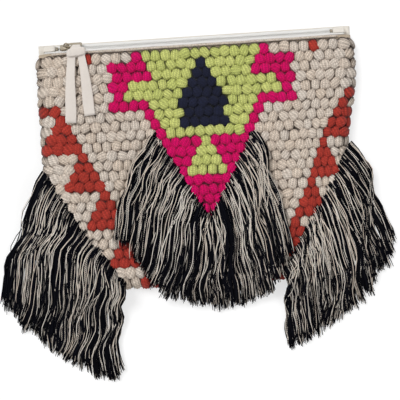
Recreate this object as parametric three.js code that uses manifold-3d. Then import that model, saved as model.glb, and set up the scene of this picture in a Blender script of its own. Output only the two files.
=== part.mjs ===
import * as THREE from 'three';
import { mergeVertices } from 'three/addons/utils/BufferGeometryUtils.js';
import Module from 'manifold-3d';

// A fringed zip clutch bag that lies on its back.
// +X runs along the zip, +Y runs up the front to the zip, +Z points out of the front.
// The origin is the centre of the back panel's underside. Every size is in millimetres.

// Driving dimensions of the bag
const clothWidth = 296;
const clothHeight = 221;
const cornerRadius = 14;
const canvasThickness = 1.2;
const clothThickness = 1.2;
const liningThickness = 0.6;
const roomInside = 8.8;
const seat = 0.3; // clearance between pieces that lie on each other
const sideDraw = 12; // how far the fringe's weight draws the right side in
const drawStart = 82;
const drawLength = 84;
const drawReach = 58; // width of the strip beside the right edge that moves with it

// Knots
const knotRows = 24;
const knotColumns = 32;
const knotHeight = 6.5;
const valleyHeight = 2.4;
const knotShoulder = 0.34; // share of a row's pitch where a knot's sides stay upright
const knotRidge = 0.17; // half length of a knot's ridge, as a share of the column pitch
const selvedgeDiameter = 2.4;

// Zip
const zipSpan = 7.6; // across the mouth, seen from above
const tapeThickness = 0.7;
const teethWidth = 2;
const teethHeight = 2;
const teethPitch = 3.8;
const teethSlot = 1.1; // between the two rows, for the slider's web
const zipInset = 7; // from the cloth's side edge to the zip's end
const endTabLength = 10;
const endTabWall = 0.7;
const endTabInset = 1.6;
const stopLength = 2.2;
const stopHeight = 2.4;

// Slider, pull tab and ribbon
const sliderRest = 1.5; // from the top stops to the slider when the zip is closed
const sliderLength = 9.5;
const sliderFrontWidth = 8.6;
const sliderRearWidth = 7.6;
const sliderPlate = 1;
const sliderWeb = 0.5;
const sliderFlange = 1;
const crownWidth = 1.6;
const crownInner = 1.6;
const crownWall = 1.1;
const crownShift = 1.5; // from the slider's middle towards the tab
const tabLift = 0.9; // between the slider's top and the lying tab
const tabLength = 15.5;
const tabWidth = 7.6;
const tabThickness = 1;
const tabRim = 1.2;
const tabEye = 4.2;
const tabSlotLength = 8;
const tabSlotHeight = 1.9;
const ribbonThickness = 1;
const loopLength = 7;
const hitchWidth = 16.5;
const hitchThickness = 3;
const hitchHeight = 8.2;
const longTail = 63;
const shortTail = 57;
const tailNeckWidth = 7.6;
const tailEndWidth = 10;
const longTailSway = -6; // sideways travel of each tail from the hitch to its end
const shortTailSway = 6;

// Fringes
const lockWidth = 10;
const fringeRootThickness = 3;
const fringeThickness = 7;
const fringeTipThickness = 4.5;
const lockGroove = 0.45; // depth of the groove between locks, as a share of the thickness
const drapeLength = 34; // from the bag's edge to where the strands lie on the table
const lockStagger = 4; // how far the locks' ends stand out and back

// Levels of the stack
const seamLevel = canvasThickness + seat;
const roomLow = seamLevel + liningThickness;
const frontTop = roomLow + roomInside + liningThickness + seat + clothThickness;
const knotTop = frontTop + knotHeight;
const edgeRoll = frontTop - seamLevel;
const coreRadius = cornerRadius - edgeRoll;
const halfWidth = clothWidth / 2;
const mouthY = clothHeight / 2;
const zipLength = clothWidth - 2 * zipInset;
const boxX = halfWidth - cornerRadius;
const boxY = mouthY - cornerRadius;
const rollSteps = 5;
const cornerSteps = 4;

// Lattice of knots
const knotsTopY = mouthY - selvedgeDiameter - seat;
const rowPitch = (knotsTopY + mouthY) / knotRows;
const columnPitch = clothWidth / knotColumns;
const motifColumn = 0.5; // the motif's centre line, in columns right of the cloth's centre line

const wasm = await Module();
wasm.setup();

const { clamp, lerp, smoothstep } = THREE.MathUtils;
const group = new THREE.Group();

const colours = {
  cream: 0xd3c4b1,
  lime: 0xbdc963,
  magenta: 0xb4095c,
  navy: 0x1d2033,
  rust: 0xb83c2e,
};
const yarn = Object.fromEntries(Object.entries(colours).map(([name, color]) => [
  name, new THREE.MeshStandardMaterial({ color, roughness: 0.95, metalness: 0 }),
]));
const canvas = new THREE.MeshStandardMaterial({ color: 0xd9cfbd, roughness: 0.9 });
const groundCloth = new THREE.MeshStandardMaterial({ color: 0xb7a58d, roughness: 0.95 });
const liningCloth = new THREE.MeshStandardMaterial({ color: 0xe2dccf, roughness: 0.85 });
const tapeCloth = new THREE.MeshStandardMaterial({ color: 0xece8e0, roughness: 0.8 });
const nylon = new THREE.MeshStandardMaterial({ color: 0xe6e1d8, roughness: 0.45 });
const nickel = new THREE.MeshStandardMaterial({ color: 0xb9b5ae, roughness: 0.28, metalness: 1 });
const suede = new THREE.MeshStandardMaterial({ color: 0xe4dfd6, roughness: 0.97 });
const strands = new THREE.MeshStandardMaterial({ color: 0x3a3636, roughness: 0.95 });

// A closed three.js geometry as a solid that can be joined and cut.
function solid(geometry) {
  const bare = geometry.clone();
  bare.deleteAttribute('normal');
  bare.deleteAttribute('uv');
  const merged = mergeVertices(bare, 1e-4);
  const vertProperties = new Float32Array(merged.attributes.position.array);
  const triVerts = new Uint32Array(merged.index.array);
  return new wasm.Manifold(new wasm.Mesh({ numProp: 3, vertProperties, triVerts }));
}

function geometryOf(manifold) {
  const { vertProperties, triVerts } = manifold.getMesh();
  const geometry = new THREE.BufferGeometry();
  geometry.setAttribute('position', new THREE.BufferAttribute(new Float32Array(vertProperties), 3));
  geometry.setIndex(Array.from(triVerts));
  geometry.computeVertexNormals();
  return geometry;
}

function trianglesOf(points, faces) {
  const geometry = new THREE.BufferGeometry().setFromPoints(points);
  geometry.setIndex(faces.flat());
  geometry.computeVertexNormals();
  return geometry;
}

function add(name, geometry, material, parent = group) {
  const mesh = new THREE.Mesh(geometry, material);
  mesh.name = name;
  parent.add(mesh);
  return mesh;
}

function blockBetween(low, high) {
  const size = new THREE.Vector3().subVectors(high, low);
  const middle = new THREE.Vector3().addVectors(low, high).multiplyScalar(0.5);
  return new THREE.BoxGeometry(size.x, size.y, size.z).translate(middle.x, middle.y, middle.z);
}

// The right side of the front is drawn in towards the bottom.
function drawn(x, y) {
  const down = smoothstep(drawStart - y, 0, drawLength);
  const beside = smoothstep(x, halfWidth - drawReach, halfWidth);
  return x - sideDraw * down * beside;
}

// Plan outline at a distance from the inner box, open at the top, from top right round to top left.
function planLoop(reach, topY) {
  const loop = [];
  const sideSteps = 8;
  for (let step = 0; step <= sideSteps; step += 1) {
    loop.push(new THREE.Vector2(boxX + reach, lerp(topY, -boxY, step / sideSteps)));
  }
  for (const side of [1, -1]) {
    for (let step = 0; step <= cornerSteps; step += 1) {
      const along = side > 0 ? step / cornerSteps : 1 - step / cornerSteps;
      const angle = along * Math.PI / 2;
      const x = side * (boxX + reach * Math.cos(angle));
      const y = -boxY - reach * Math.sin(angle);
      if (side < 0 || step > 0) loop.push(new THREE.Vector2(x, y));
    }
  }
  loop.push(new THREE.Vector2(-boxX - reach, topY));
  return loop.map((point) => new THREE.Vector2(drawn(point.x, point.y), point.y));
}

// The bag's rounded front as a solid block, grown by an offset on every rolled side.
function bagForm(offset, low) {
  const openTopY = mouthY + 30;
  const rings = [{ reach: coreRadius + edgeRoll + offset, z: low }];
  for (let step = 0; step <= rollSteps; step += 1) {
    const angle = (step / rollSteps) * Math.PI / 2;
    const reach = coreRadius + (edgeRoll + offset) * Math.cos(angle);
    rings.push({ reach, z: seamLevel + (edgeRoll + offset) * Math.sin(angle) });
  }
  const loops = rings.map(({ reach, z }) => (
    planLoop(reach, openTopY).map(({ x, y }) => new THREE.Vector3(x, y, z))
  ));
  const count = loops[0].length;
  const faces = [];
  for (let ring = 0; ring + 1 < loops.length; ring += 1) {
    for (let index = 0; index < count; index += 1) {
      const next = (index + 1) % count;
      const low0 = ring * count + index;
      const low1 = ring * count + next;
      faces.push([low0, low0 + count, low1], [low1, low0 + count, low1 + count]);
    }
  }
  const lid = (loop, first, flip) => {
    const flat = loop.map(({ x, y }) => new THREE.Vector2(x, y));
    for (const [a, b, c] of THREE.ShapeUtils.triangulateShape(flat, [])) {
      const area = THREE.ShapeUtils.area([flat[a], flat[b], flat[c]]);
      faces.push((area > 0) === flip ? [first + c, first + b, first + a] : [first + a, first + b, first + c]);
    }
  };
  lid(loops[0], 0, true);
  lid(loops.at(-1), (loops.length - 1) * count, false);
  return solid(trianglesOf(loops.flat(), faces));
}

// Everything below the mouth, for cutting the forms off at a height on the bag.
function belowMouth(topY, low = -10) {
  const reach = clothWidth;
  return solid(blockBetween(new THREE.Vector3(-reach, -reach, low), new THREE.Vector3(reach, topY, 90)));
}

// A point on the front cloth, lifted by a height along the cloth's normal.
function onFront(x, y, height) {
  const away = new THREE.Vector2(x - clamp(x, -boxX, boxX), Math.min(y + boxY, 0));
  const reach = away.length() - coreRadius;
  if (reach <= 0) return new THREE.Vector3(drawn(x, y), y, frontTop + height);
  const lean = Math.acos(Math.min(reach / edgeRoll, 1));
  const root = new THREE.Vector2(x, y).sub(away);
  away.setLength(coreRadius + (edgeRoll + height) * Math.cos(lean));
  const place = root.add(away);
  return new THREE.Vector3(drawn(place.x, place.y), place.y, seamLevel + (edgeRoll + height) * Math.sin(lean));
}

// Back panel, front cloth, lining and selvedge
const zipFrontY = mouthY + 2 * seat;
const zipBackY = zipFrontY + zipSpan;
const zipFrontZ = frontTop - clothThickness;
const zipBackZ = canvasThickness + seat + tapeThickness / 2;
const backOutline = planLoop(cornerRadius - seat, zipBackY + canvasThickness);
add('back_panel', new THREE.ExtrudeGeometry(new THREE.Shape(backOutline.reverse()), {
  depth: canvasThickness, bevelEnabled: false,
}), canvas);

const clothInside = bagForm(-clothThickness, -5);
const cloth = bagForm(0, seamLevel - 1).subtract(clothInside).intersect(belowMouth(mouthY, seamLevel));
add('front_cloth', geometryOf(cloth), groundCloth);

const liningOutset = -clothThickness - seat;
const liningOutside = bagForm(liningOutset, -5).intersect(belowMouth(mouthY - seat, seamLevel));
const liningInside = bagForm(liningOutset - liningThickness, -5).intersect(belowMouth(mouthY + 5, roomLow));
add('lining', geometryOf(liningOutside.subtract(liningInside)), liningCloth);

const selvedgeRadius = selvedgeDiameter / 2;
const selvedge = new THREE.CylinderGeometry(selvedgeRadius, selvedgeRadius, 2 * boxX, 8);
selvedge.rotateZ(Math.PI / 2);
selvedge.translate(0, mouthY - selvedgeRadius, frontTop + seat + selvedgeRadius);
add('selvedge', selvedge, yarn.cream);

// Colour of each knot: fields are told in knots from the motif's centre line and in rows from the top.
const fields = [
  { colour: 'navy', rows: [1, 5], half: (row) => row / 2 },
  { colour: 'navy', rows: [6, 7], half: (row) => (row - 2) / 2 },
  { colour: 'lime', rows: [0, 2], half: (row) => (12 - row) / 2 },
  { colour: 'lime', rows: [3, 4], half: () => 7.9 },
  { colour: 'lime', rows: [5, 8], half: (row) => (16 - row) / 2 },
  { colour: 'lime', rows: [9, 12], half: (row) => (row - 8) / 2 },
  { colour: 'magenta', rows: [0, 0], half: () => 7 },
  { colour: 'magenta', rows: [1, 5], half: () => 9.4 },
  { colour: 'magenta', rows: [6, 17], half: (row) => (18 - row) / 2 },
];
const sawFirstRow = 5;
const sawRowsPerTooth = 4;
const sawTopRow = 2;
const sawTopCentre = 16.5;
const sawStep = 2;
const spotCentre = 11.5;

function knotColour(row, across) {
  const within = ({ rows, half }) => row >= rows[0] && row <= rows[1] && Math.abs(across) < half(row);
  const found = fields.find(within);
  if (found) return found.colour;
  if (row === 0 && Math.abs(Math.abs(across) - spotCentre) < 0.25) return 'rust';
  if (row < sawFirstRow) return 'cream';
  const tooth = Math.floor((row - sawTopRow) / sawRowsPerTooth);
  const toothRow = (row - sawTopRow) % sawRowsPerTooth;
  const toothCentre = sawTopCentre - sawStep * tooth;
  return Math.abs(Math.abs(across) - toothCentre) < (toothRow + 1) / 2 ? 'rust' : 'cream';
}

// Cells of the lattice: six-sided, each row shifted by half a knot from the one above.
// Neighbours know a shared corner by its place in the lattice: half columns across, levels down.
const cellCorners = [[0, 0], [-1, 1], [-1, 2], [0, 3], [1, 2], [1, 1]];

function knotCells() {
  const shoulder = knotShoulder * rowPitch;
  const apex = rowPitch - shoulder;
  const levels = [apex, shoulder, -shoulder, -apex];
  const cells = [];
  for (let row = 0; row < knotRows; row += 1) {
    const shifted = row % 2 === 0;
    const count = shifted ? knotColumns + 1 : knotColumns;
    const centreY = knotsTopY - apex - row * rowPitch;
    for (let column = 0; column < count; column += 1) {
      const place = column + (shifted ? 0 : 0.5) - knotColumns / 2;
      const outline = cellCorners.map(([across, down]) => {
        const halfColumn = clamp(2 * place + across, -knotColumns, knotColumns);
        const y = Math.max(centreY + levels[down], -mouthY);
        const corner = new THREE.Vector2(halfColumn * columnPitch / 2, y);
        corner.key = `${halfColumn},${2 * row + down}`;
        return corner;
      });
      const left = Math.max((place - 0.5) * columnPitch, -halfWidth);
      const right = Math.min((place + 0.5) * columnPitch, halfWidth);
      const middle = new THREE.Vector2((left + right) / 2, centreY);
      const colour = knotColour(row, place - motifColumn);
      cells.push({ outline, middle, ridge: (right - left) * knotRidge, colour });
    }
  }
  return cells;
}

const cornerKey = ({ key }) => key;
const sideKey = (a, b) => [cornerKey(a), cornerKey(b)].sort().join(' ');

// Neighbouring cells of one colour make one patch.
function knotPatches(cells) {
  const bySide = new Map();
  for (const cell of cells) {
    cell.outline.forEach((corner, index) => {
      const key = sideKey(corner, cell.outline[(index + 1) % 6]);
      bySide.set(key, [...(bySide.get(key) ?? []), cell]);
    });
  }
  const patches = [];
  for (const start of cells) {
    if (start.patch) continue;
    const patch = { colour: start.colour, cells: [] };
    const waiting = [start];
    start.patch = patch;
    while (waiting.length) {
      const cell = waiting.pop();
      patch.cells.push(cell);
      cell.outline.forEach((corner, index) => {
        for (const other of bySide.get(sideKey(corner, cell.outline[(index + 1) % 6]))) {
          if (other.patch || other.colour !== patch.colour) continue;
          other.patch = patch;
          waiting.push(other);
        }
      });
    }
    patches.push(patch);
  }
  return patches;
}

// One patch as a closed solid: a ridged top on each knot, walls round the patch, and a deep floor.
function patchGeometry(patch, cellsAtCorner) {
  const depth = -3;
  const retreat = seat / Math.sqrt(3);
  const points = [];
  const faces = [];
  const known = new Map();
  const corner = (place) => {
    const key = cornerKey(place);
    if (known.has(key)) return known.get(key);
    const around = cellsAtCorner.get(key);
    const own = around.filter((cell) => cell.patch === patch);
    const spot = place.clone();
    if (own.length < around.length) {
      const towards = own.reduce((sum, cell) => sum.add(cell.middle), new THREE.Vector2());
      towards.divideScalar(own.length).sub(place).setLength(retreat);
      spot.add(towards);
    }
    points.push(onFront(spot.x, spot.y, valleyHeight), onFront(spot.x, spot.y, depth));
    known.set(key, points.length - 2);
    return points.length - 2;
  };
  const sides = new Map();
  for (const cell of patch.cells) {
    const [top, leftTop, leftLow, low, rightLow, rightTop] = cell.outline.map(corner);
    const left = points.length;
    const right = left + 1;
    points.push(onFront(cell.middle.x - cell.ridge, cell.middle.y, knotHeight));
    points.push(onFront(cell.middle.x + cell.ridge, cell.middle.y, knotHeight));
    faces.push([top, leftTop, left], [leftTop, leftLow, left], [leftLow, low, left], [low, rightLow, right]);
    faces.push([rightLow, rightTop, right], [rightTop, top, right], [top, left, right], [low, right, left]);
    const ring = [top, rightTop, rightLow, low, leftLow, leftTop].map((index) => index + 1);
    faces.push([ring[0], ring[1], ring[2]], [ring[0], ring[2], ring[3]]);
    faces.push([ring[0], ring[3], ring[4]], [ring[0], ring[4], ring[5]]);
    cell.outline.forEach((from, index) => {
      const to = cell.outline[(index + 1) % 6];
      const key = sideKey(from, to);
      if (sides.has(key)) sides.delete(key);
      else sides.set(key, { from, to });
    });
  }
  for (const { from, to } of sides.values()) {
    const a = corner(from);
    const b = corner(to);
    if (cornerKey(from) < cornerKey(to)) faces.push([a, a + 1, b + 1], [a, b + 1, b]);
    else faces.push([a, a + 1, b], [a + 1, b + 1, b]);
  }
  return trianglesOf(points, faces);
}

function addKnots() {
  const cells = knotCells();
  const patches = knotPatches(cells);
  const cellsAtCorner = new Map();
  for (const cell of cells) {
    for (const place of cell.outline) {
      const key = cornerKey(place);
      cellsAtCorner.set(key, [...(cellsAtCorner.get(key) ?? []), cell]);
    }
  }
  const undercut = bagForm(seat, -5);
  const counts = {};
  for (const patch of patches) {
    counts[patch.colour] = (counts[patch.colour] ?? 0) + 1;
    const shape = solid(patchGeometry(patch, cellsAtCorner)).subtract(undercut);
    add(`knots_${patch.colour}_${counts[patch.colour]}`, geometryOf(shape), yarn[patch.colour]);
  }
}
addKnots();

// Zip, in a group of its own: local +Y runs from the front edge to the back edge, local +Z out of the bag.
const zipDrop = zipFrontZ - zipBackZ;
const zipTilt = Math.atan2(zipDrop, zipSpan);
const zipWidth = Math.hypot(zipDrop, zipSpan);
const zip = new THREE.Group();
zip.position.set(0, (zipFrontY + zipBackY) / 2, (zipFrontZ + zipBackZ) / 2);
zip.rotation.x = -zipTilt;
group.add(zip);
zip.updateMatrixWorld();

const zipEnd = zipLength / 2;
const teethTop = teethHeight / 2;
const chainEdge = teethSlot / 2 + teethWidth;
const stopX = -zipEnd + endTabLength + seat;
const chainFrom = stopX + stopLength + seat;
const chainTo = zipEnd - endTabLength - stopLength - 2 * seat;

// A shape drawn along X and upwards, with its depth across the zip from low to high.
function acrossZip(shape, low, high) {
  const settings = { depth: high - low, bevelEnabled: false, curveSegments: 8 };
  const geometry = new THREE.ExtrudeGeometry(shape, settings);
  return geometry.rotateX(Math.PI / 2).translate(0, high, 0);
}

function outline(places) {
  return new THREE.Shape(places.map(([x, y]) => new THREE.Vector2(x, y)));
}

function teethShape(shift) {
  const places = [[chainTo, -teethTop], [chainTo, teethTop / 2]];
  const count = Math.floor((chainTo - chainFrom) / teethPitch) - 1;
  for (let tooth = count; tooth > 0; tooth -= 1) {
    const x = chainFrom + (tooth + shift) * teethPitch;
    places.push([x, teethTop], [x - teethPitch / 2, teethTop / 3]);
  }
  return outline([...places, [chainFrom, teethTop / 2], [chainFrom, -teethTop]]);
}

for (const [side, name] of [[-1, 'front'], [1, 'back']]) {
  const [near, far] = [chainEdge + seat, zipWidth / 2];
  const tape = new THREE.BoxGeometry(zipLength, far - near, tapeThickness);
  add(`zip_tape_${name}`, tape.translate(0, side * (near + far) / 2, 0), tapeCloth, zip);
  const across = side > 0 ? [teethSlot / 2, chainEdge] : [-chainEdge, -teethSlot / 2];
  add(`zip_teeth_${name}`, acrossZip(teethShape(side / 4), ...across), nylon, zip);
  const stop = new THREE.BoxGeometry(stopLength, teethWidth, stopHeight);
  stop.translate(stopX + stopLength / 2, side * (teethSlot + teethWidth) / 2, 0);
  add(`zip_top_stop_${name}`, stop, nickel, zip);
}
const bottomStop = new THREE.BoxGeometry(stopLength, 2 * chainEdge, stopHeight);
add('zip_bottom_stop', bottomStop.translate(chainTo + seat + stopLength / 2, 0, 0), nickel, zip);

// End tabs: cloth folded round each end of the two tapes.
const endTabGap = tapeThickness / 2 + seat;
const endTabTop = endTabGap + endTabWall;
for (const [side, name] of [[-1, 'left'], [1, 'right']]) {
  const outer = side * (zipEnd + seat + endTabWall);
  const inner = side * (zipEnd + seat);
  const lip = side * (zipEnd - endTabLength);
  const fold = outline([
    [outer, -endTabTop], [outer, endTabTop], [lip, endTabTop], [lip, endTabGap],
    [inner, endTabGap], [inner, -endTabGap], [lip, -endTabGap], [lip, -endTabTop],
  ]);
  const reach = zipWidth / 2 - endTabInset;
  add(`zip_end_tab_${name}`, acrossZip(fold, -reach, reach), canvas, zip);
}

// Slider: two plates with lips, joined by the web that runs between the rows of teeth, and a crown on top.
const sliderX = chainFrom + sliderRest + sliderLength / 2;
const plateLow = teethTop + seat;
const plateTop = plateLow + sliderPlate;
const lipLow = tapeThickness / 2 + seat;
const crownX = sliderX + crownShift;
const tabAxisZ = plateTop + tabLift + tabThickness / 2;

function sliderGeometry() {
  const wide = sliderFrontWidth / 2;
  const within = wide - sliderFlange;
  const web = sliderWeb / 2;
  const quarter = [[web, plateLow], [within, plateLow], [within, lipLow], [wide, lipLow], [wide, plateTop]];
  const upper = [...quarter, ...quarter.map(([y, z]) => [-y, z]).reverse()];
  const lower = upper.map(([y, z]) => [y, -z]).reverse();
  const section = new THREE.ExtrudeGeometry(outline([...upper, ...lower]), {
    depth: sliderLength, bevelEnabled: false,
  });
  const [alongX, alongY, alongZ] = [[1, 0, 0], [0, 1, 0], [0, 0, 1]].map((axis) => new THREE.Vector3(...axis));
  section.applyMatrix4(new THREE.Matrix4().makeBasis(alongY, alongZ, alongX));
  section.translate(-sliderLength / 2, 0, 0);
  const [half, rear, chamfer] = [sliderLength / 2, sliderRearWidth / 2, 1.4];
  const shield = outline([
    [-half, wide - chamfer], [-half, chamfer - wide], [chamfer - half, -wide], [half - chamfer, -rear],
    [half, chamfer - rear], [half, rear - chamfer], [half - chamfer, rear], [chamfer - half, wide],
  ]);
  const plan = new THREE.ExtrudeGeometry(shield, { depth: 4 * plateTop, bevelEnabled: false });
  plan.translate(0, 0, -2 * plateTop);
  const crownOuter = crownInner + crownWall;
  const foot = plateTop - sliderPlate / 2;
  const arch = new THREE.Shape();
  arch.moveTo(crownOuter, foot);
  arch.absarc(0, tabAxisZ, crownOuter, 0, Math.PI, false);
  arch.lineTo(-crownOuter, foot);
  arch.lineTo(-crownInner, foot);
  arch.absarc(0, tabAxisZ, crownInner, Math.PI, 0, true);
  arch.lineTo(crownInner, foot);
  const crown = acrossZip(arch, -crownWidth / 2, crownWidth / 2).translate(crownShift, 0, 0);
  return geometryOf(solid(section).intersect(solid(plan)).add(solid(crown)));
}
add('slider_body', sliderGeometry().translate(sliderX, 0, 0), nickel, zip);

// Pull tab: a flat plate with an eye round the crown and a slot for the ribbon. It turns about its left bar.
const eyeHalf = crownWidth / 2 + 0.7;
const slotFrom = tabRim / 2 + tabEye + tabRim;
const slotLow = -tabWidth / 2 + tabRim;
function tabGeometry() {
  const [wide, end, round] = [tabWidth / 2, tabLength - tabRim / 2, 1.3];
  const neck = eyeHalf + tabRim;
  const plate = outline([
    [-tabRim / 2, neck], [-tabRim / 2, -neck], [tabEye, -wide], [end - round, -wide],
    [end, round - wide], [end, wide - round], [end - round, wide], [tabEye, wide],
  ]);
  const eye = [[0, -eyeHalf], [tabEye, -eyeHalf], [tabEye, eyeHalf], [0, eyeHalf]];
  plate.holes.push(new THREE.Path(eye.map(([x, y]) => new THREE.Vector2(x + tabRim / 2, y))));
  const slot = [[0, 0], [tabSlotLength, 0], [tabSlotLength, tabSlotHeight], [0, tabSlotHeight]];
  plate.holes.push(new THREE.Path(slot.map(([x, y]) => new THREE.Vector2(x + slotFrom, y + slotLow))));
  return new THREE.ExtrudeGeometry(plate, { depth: tabThickness, bevelEnabled: false });
}
add('pull_tab', tabGeometry().translate(crownX, 0, tabAxisZ - tabThickness / 2), nickel, zip);

// A flat strip along a line of middle points, as wide as told at each, with its thickness upright to the line.
function strip(middles, widths, thickness) {
  const points = [];
  const faces = [];
  middles.forEach((middle, index) => {
    const before = middles[Math.max(index - 1, 0)];
    const after = middles[Math.min(index + 1, middles.length - 1)];
    const along = new THREE.Vector3().subVectors(after, before).normalize();
    const side = new THREE.Vector3(1, 0, 0).multiplyScalar(widths[index] / 2);
    const up = new THREE.Vector3().crossVectors(along, side).setLength(thickness / 2);
    points.push(middle.clone().add(side).add(up), middle.clone().sub(side).add(up));
    points.push(middle.clone().sub(side).sub(up), middle.clone().add(side).sub(up));
    if (index === 0) return;
    const [now, last] = [index * 4, index * 4 - 4];
    for (let edge = 0; edge < 4; edge += 1) {
      const next = (edge + 1) % 4;
      faces.push([last + edge, last + next, now + edge], [last + next, now + next, now + edge]);
    }
  });
  const end = points.length - 4;
  faces.push([0, 2, 1], [0, 3, 2], [end, end + 1, end + 2], [end, end + 2, end + 3]);
  return trianglesOf(points, faces);
}

// Ribbon: a loop round the tab's front rim, the hitch in front of it, and two tails that lie on the knots.
function ribbonGeometry() {
  const loopX = crownX + slotFrom + tabSlotLength / 2;
  const [rimY, rimHalf] = [-tabWidth / 2 + tabRim / 2, tabRim / 2 + seat];
  const tabHalf = tabThickness / 2 + seat;
  const [outY, outZ] = [rimHalf + ribbonThickness, tabHalf + ribbonThickness];
  const ringOutside = new THREE.BoxGeometry(loopLength, 2 * outY, 2 * outZ);
  const ringInside = new THREE.BoxGeometry(2 * loopLength, 2 * rimHalf, 2 * tabHalf);
  const ring = [ringOutside, ringInside].map((geometry) => {
    geometry.translate(loopX, rimY, tabAxisZ).applyMatrix4(zip.matrixWorld);
    return solid(geometry);
  });
  const ringFront = new THREE.Vector3(0, rimY - rimHalf - ribbonThickness / 2, tabAxisZ);
  ringFront.applyMatrix4(zip.matrixWorld);
  const lie = knotTop + seat + ribbonThickness / 2;
  const hitchLow = ringFront.y - hitchHeight;
  const at = (x, y, z) => new THREE.Vector3(loopX + x, y, z);
  const hitchRise = lie + hitchThickness / 3;
  const hitch = strip([
    at(0, ringFront.y, ringFront.z + ribbonThickness / 2),
    at(0, ringFront.y - 0.42 * hitchHeight, hitchRise - 2.2),
    at(0, hitchLow, hitchRise),
  ], [loopLength + 6, hitchWidth, hitchWidth], hitchThickness);
  const tails = [[-1, longTail, longTailSway], [1, shortTail, shortTailSway]].map(([side, length, sway]) => {
    const from = side * tailNeckWidth / 2;
    return strip([
      at(from, hitchLow + 2, lie),
      at(from + sway / 2, hitchLow - length / 2, lie),
      at(from + sway, hitchLow - length, lie),
    ], [tailNeckWidth, (tailNeckWidth + tailEndWidth) / 2, tailEndWidth], ribbonThickness);
  });
  const parts = [hitch, ...tails].map(solid);
  return geometryOf(parts.reduce((sum, next) => sum.add(next), ring[0].subtract(ring[1])));
}
add('pull_ribbon', ribbonGeometry(), suede);

// Fringes: strands in locks from a stitched line to their ends, laid over the knots and down to the table.
// Their places are told in knots from the cloth's centre: columns to the right, rows up.
const fringes = [
  {
    name: 'fringe_left',
    root: [[-16.4, 0], [-8.8, -12.1]],
    ends: [[-20.1, -12.9], [-18.9, -15.6], [-16.2, -18.7], [-13.2, -20.1], [-10.9, -21.8], [-9.4, -21.3]],
  },
  {
    name: 'fringe_centre',
    root: [[-4.9, 3.4], [0.5, -6.2], [5.6, 3.1]],
    ends: [
      [-9.3, -6.7], [-7.4, -8.7], [-5.9, -11.8], [-4.1, -13.3], [-1.7, -14.3], [1, -15],
      [3.6, -14.5], [5.6, -14], [6.6, -12.3], [7.5, -10.6], [8.3, -8.9],
    ],
  },
  {
    name: 'fringe_right',
    root: [[7.6, -11.9], [15.4, 1]],
    ends: [
      [7.8, -19.3], [9.4, -18.8], [10.9, -17.7], [13.2, -16.8],
      [15.4, -15.4], [16.8, -13.4], [18.4, -11], [19, -8.9],
    ],
  },
];
const fringeBulge = 12; // how far the strands arch out sideways before they hang
const fringeSteps = 6;
const fringeLift = knotHeight + seat + 0.1;

function drapeLevel(x, y) {
  const spread = x + (x - drawn(x, y));
  const away = Math.hypot(spread - clamp(spread, -boxX, boxX), Math.min(y + boxY, 0)) - cornerRadius;
  return lerp(frontTop + fringeLift, seat, smoothstep(away, -4, drapeLength));
}

function fringeThicknessAt(along) {
  if (along < 0.3) return lerp(fringeRootThickness, fringeThickness, along / 0.3);
  return lerp(fringeThickness, fringeTipThickness, (along - 0.3) / 0.7);
}

const byKnots = ([columns, rows]) => new THREE.Vector3(columns * columnPitch, rows * rowPitch, 0);

function fringeGeometry({ root, ends }) {
  const corners = root.map(byKnots);
  const rootLine = new THREE.CurvePath();
  for (let index = 1; index < corners.length; index += 1) {
    rootLine.add(new THREE.LineCurve3(corners[index - 1], corners[index]));
  }
  const endLine = new THREE.CatmullRomCurve3(ends.map(byKnots));
  const columns = 2 * Math.round(rootLine.getLength() / lockWidth);
  const points = [];
  for (let column = 0; column <= columns; column += 1) {
    const share = column / columns;
    const onLock = column % 2 === 1;
    const from = rootLine.getPointAt(share);
    const to = endLine.getPointAt(share);
    const reach = to.clone().sub(from);
    to.addScaledVector(reach.clone().normalize(), onLock ? lockStagger : -lockStagger);
    const outward = from.x < (corners[0].x + corners.at(-1).x) / 2 ? -1 : 1;
    const side = root.length > 2 ? outward * (1 - 2 * Math.abs(Math.min(share, 1 - share))) : Math.sign(from.x);
    const bend = from.clone().lerp(to, 0.45).add(new THREE.Vector3(side * fringeBulge, 0, 0));
    const strand = new THREE.QuadraticBezierCurve3(from, bend, to);
    for (let step = 0; step <= fringeSteps; step += 1) {
      const along = step / fringeSteps;
      const place = strand.getPoint(along);
      const fullness = onLock ? 1 : 1 - lockGroove * smoothstep(along, 0, 0.3);
      place.z = drapeLevel(place.x, place.y) + fringeThicknessAt(along) * fullness;
      points.push(place);
    }
  }
  const row = fringeSteps + 1;
  const floor = points.length;
  points.push(...points.map(({ x, y }) => new THREE.Vector3(x, y, seat)));
  const faces = [];
  const quad = (a, b, c, d) => faces.push([a, b, c], [a, c, d]);
  for (let column = 0; column < columns; column += 1) {
    for (let step = 0; step < fringeSteps; step += 1) {
      const a = column * row + step;
      quad(a, a + 1, a + row + 1, a + row);
      quad(floor + a, floor + a + row, floor + a + row + 1, floor + a + 1);
    }
    const [rootA, tipA] = [column * row, column * row + fringeSteps];
    quad(rootA, rootA + row, floor + rootA + row, floor + rootA);
    quad(tipA + row, tipA, floor + tipA, floor + tipA + row);
  }
  const last = columns * row;
  for (let step = 0; step < fringeSteps; step += 1) {
    quad(step + 1, step, floor + step, floor + step + 1);
    quad(last + step, last + step + 1, floor + last + step + 1, floor + last + step);
  }
  return trianglesOf(points, faces);
}

const underFringe = bagForm(fringeLift, -5);
for (const fringe of fringes) {
  add(fringe.name, geometryOf(solid(fringeGeometry(fringe)).subtract(underFringe)), strands);
}

export default group;
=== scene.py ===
import math

import bmesh
import bpy
import numpy as np
from mathutils import Matrix, Vector


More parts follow.
